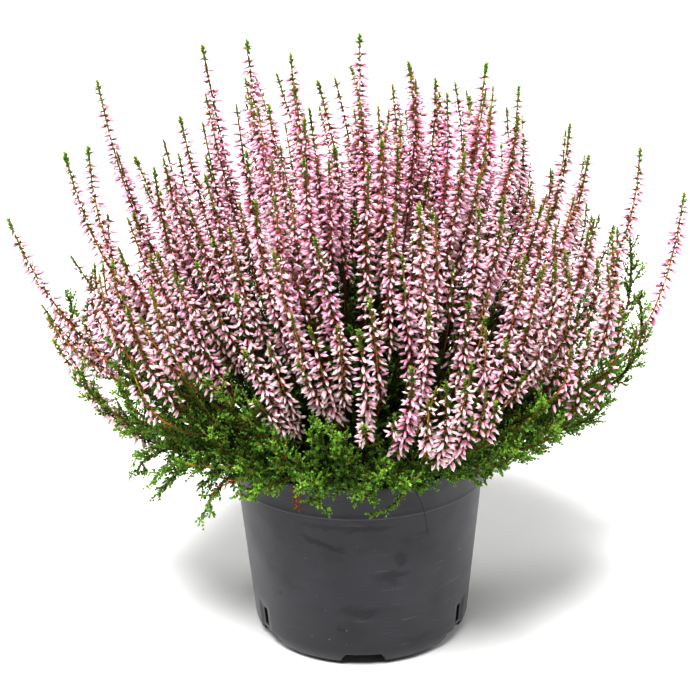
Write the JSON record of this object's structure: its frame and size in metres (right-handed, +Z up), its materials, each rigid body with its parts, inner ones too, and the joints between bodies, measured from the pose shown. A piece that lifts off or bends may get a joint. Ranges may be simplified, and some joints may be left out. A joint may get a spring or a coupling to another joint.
{
  "type": "potted heather",
  "caption": "Bushy heather with dense upright spikes of pink buds over a green leafy skirt, growing in a round plastic nursery pot.",
  "frame": {"origin": "centre of the pot's foot, on the surface that the pot stands on", "axes": "+Z up along the pot's axis, -Y towards the front of the plant, +X to its right"},
  "size_m": [0.297, 0.2454, 0.274],
  "materials": {
    "pot": "satin",
    "soil": "matte",
    "blossom": "matte",
    "foliage": "satin",
    "stem": "matte"
  },
  "bodies": {
    "root": {"pot": "pot", "soil": "soil", "flower_branch_01": "blossom", "flower_branch_02": "blossom", "flower_branch_03": "blossom", "flower_branch_04": "blossom", "flower_branch_05": "blossom", "flower_branch_06": "blossom", "flower_branch_07": "blossom", "flower_branch_08": "blossom", "flower_branch_09": "blossom", "flower_branch_10": "blossom", "flower_branch_11": "blossom", "flower_branch_12": "blossom", "flower_branch_13": "blossom", "flower_branch_14": "blossom", "flower_branch_15": "blossom", "flower_branch_16": "blossom", "flower_branch_17": "blossom", "flower_branch_18": "blossom", "flower_branch_19": "blossom", "flower_branch_20": "blossom", "flower_branch_21": "blossom", "flower_branch_22": "blossom", "flower_branch_23": "blossom", "flower_branch_24": "blossom", "flower_branch_25": "blossom", "flower_branch_26": "blossom", "flower_branch_27": "blossom", "flower_branch_28": "blossom", "flower_branch_29": "blossom", "flower_branch_30": "blossom", "flower_branch_31": "blossom", "flower_branch_32": "blossom", "flower_branch_33": "blossom", "flower_branch_34": "blossom", "flower_branch_35": "blossom", "flower_branch_36": "blossom", "leafy_spray_01": "foliage", "leafy_spray_02": "foliage", "leafy_spray_03": "foliage", "leafy_spray_04": "foliage", "leafy_spray_05": "foliage", "leafy_spray_06": "foliage", "leafy_spray_07": "foliage", "leafy_spray_08": "foliage", "leafy_spray_09": "foliage", "leafy_spray_10": "foliage", "leafy_spray_11": "foliage", "leafy_spray_12": "foliage", "leafy_spray_13": "foliage", "leafy_spray_14": "foliage", "leafy_spray_15": "foliage", "leafy_spray_16": "foliage", "leafy_spray_17": "foliage", "leafy_spray_18": "foliage", "leafy_spray_19": "foliage", "leafy_spray_20": "foliage"}
  },
  "joints": []
}
